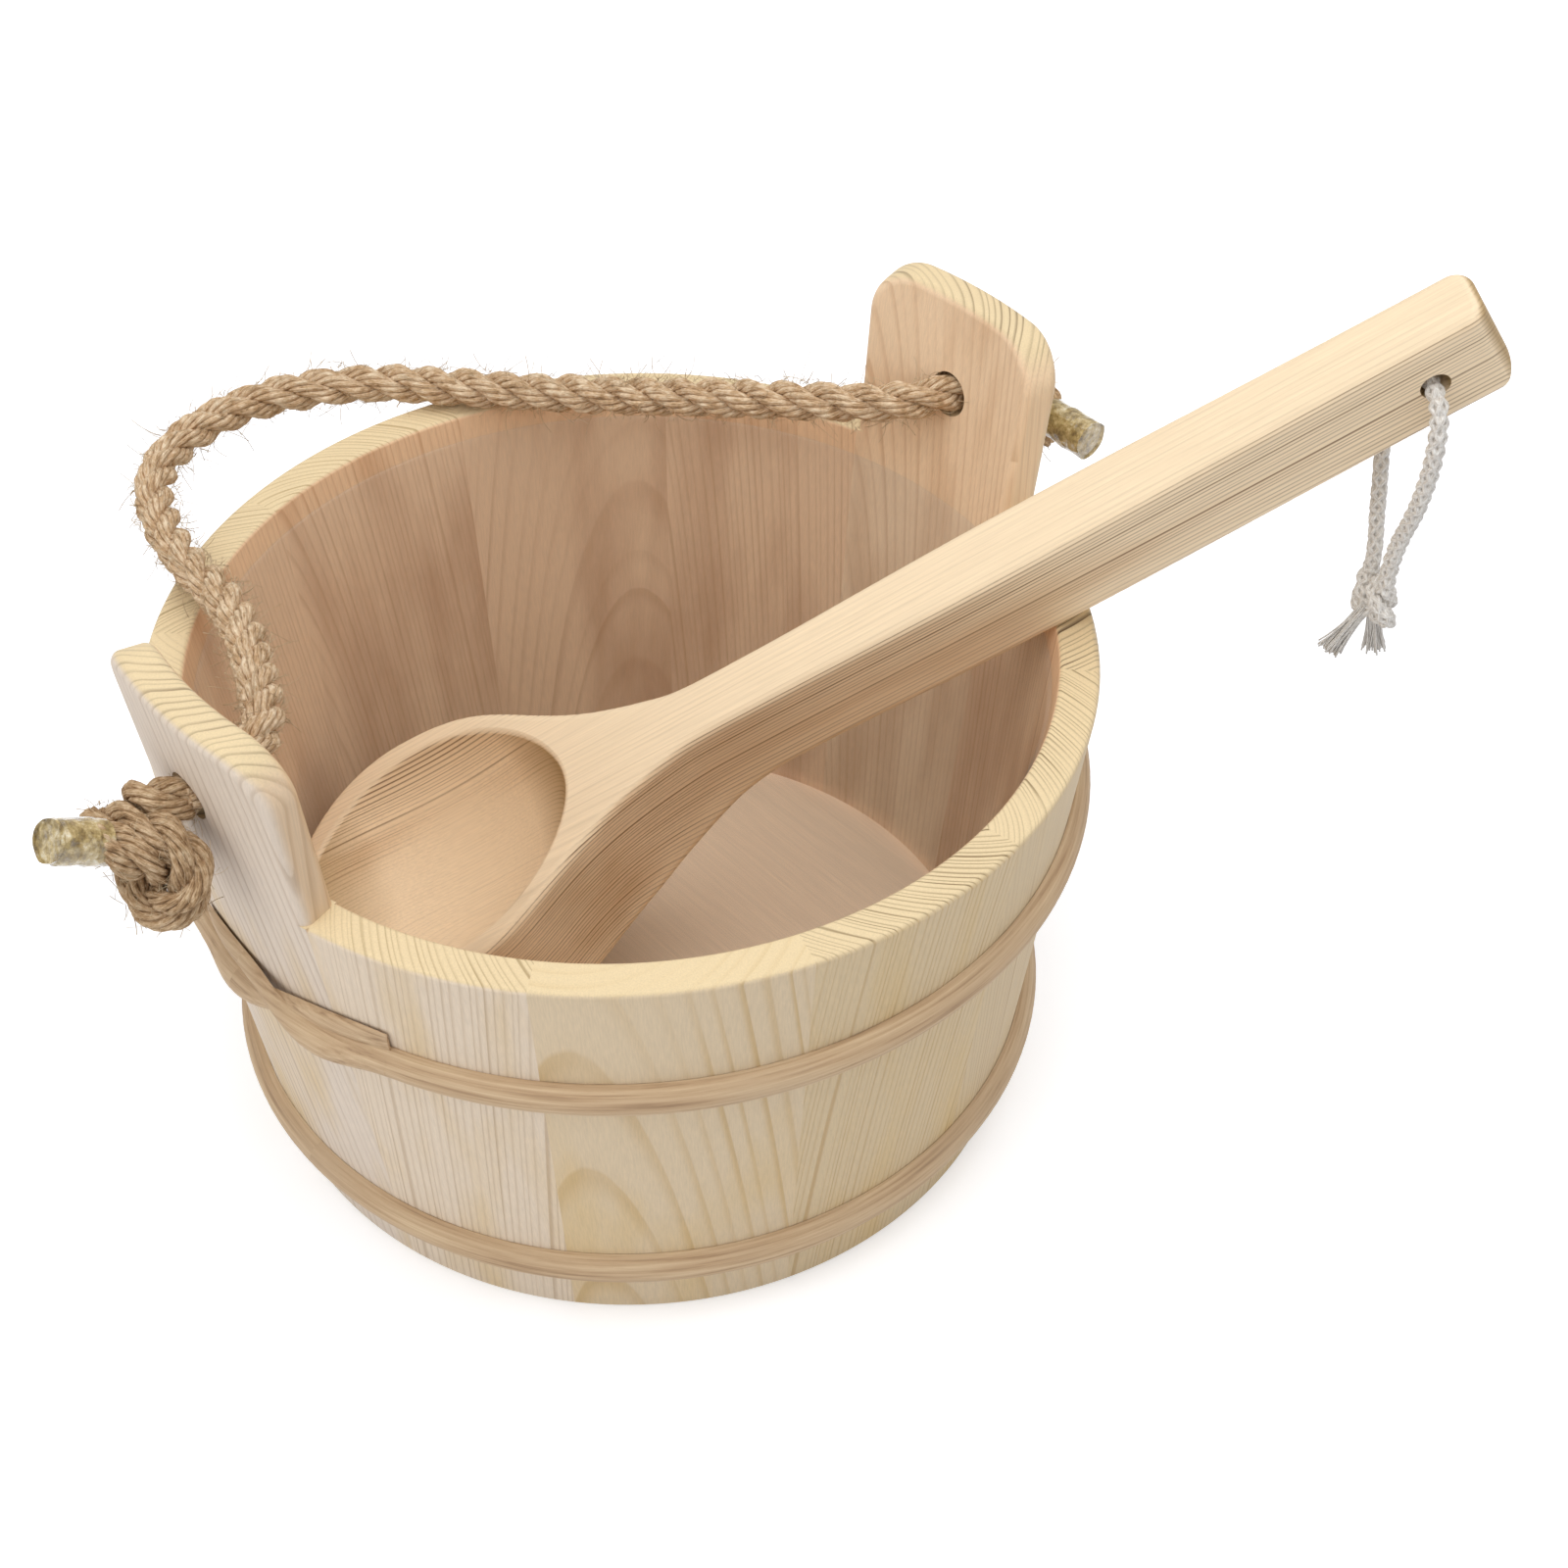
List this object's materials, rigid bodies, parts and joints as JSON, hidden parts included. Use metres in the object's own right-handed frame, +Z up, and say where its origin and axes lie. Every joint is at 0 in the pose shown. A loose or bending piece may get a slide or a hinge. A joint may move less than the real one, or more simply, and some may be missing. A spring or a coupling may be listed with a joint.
{
  "type": "wooden pail with ladle",
  "caption": "Coopered softwood pail with two tall ears, wooden hoops, a rope handle knotted outside the ears, a clear liner cup and a long wooden ladle leaning in it.",
  "frame": {"origin": "centre of the ring that the pail stands on, on the floor", "axes": "+Z up along the pail's axis, +X through the right ear's rope hole, +Y towards the rim that the rope lies on"},
  "size_m": [0.3768, 0.3136, 0.2596],
  "materials": {
    "pail_wood": "bare planed softwood",
    "hoop_wood": "bare split sapling",
    "clear_liner": "clear glossy",
    "rope": "twisted jute",
    "tape": "crumpled clear tape over jute",
    "ladle_wood": "bare sanded softwood",
    "cord": "braided cotton"
  },
  "bodies": {
    "bucket": {"stave_01": "pail_wood", "stave_02": "pail_wood", "stave_03": "pail_wood", "stave_04": "pail_wood", "stave_05": "pail_wood", "stave_06": "pail_wood", "stave_07": "pail_wood", "stave_08": "pail_wood", "stave_09": "pail_wood", "stave_10": "pail_wood", "ear_stave_left": "pail_wood", "ear_stave_right": "pail_wood", "base_board_left": "pail_wood", "base_board_middle": "pail_wood", "base_board_right": "pail_wood", "upper_hoop": "hoop_wood", "lower_hoop": "hoop_wood", "liner": "clear_liner"},
    "rope loop": {"rope_handle": "rope", "knot_left": "rope", "knot_right": "rope", "tape_end_left": "tape", "tape_end_right": "tape"},
    "ladle": {"ladle": "ladle_wood"},
    "hanging loop": {"hang_cord": "cord", "hang_cord_knot": "cord"}
  },
  "joints": [
    {"name": "rope_swing", "type": "hinge", "parent": "bucket", "child": "rope loop", "pos_m": [0, 0, 0.1815], "axis": [1, 0, 0], "range_deg": [0, 165]},
    {"name": "ladle_lift", "type": "slide", "parent": "bucket", "child": "ladle", "axis": [0.4943, -0.367, 0.788], "range_m": [0, 0.42]},
    {"name": "loop_swing", "type": "hinge", "parent": "ladle", "child": "hanging loop", "pos_m": [0.17648, -0.12752, 0.23437], "axis": [0.4883, 0.853, 0.1844], "range_deg": [-235, 10]}
  ]
}
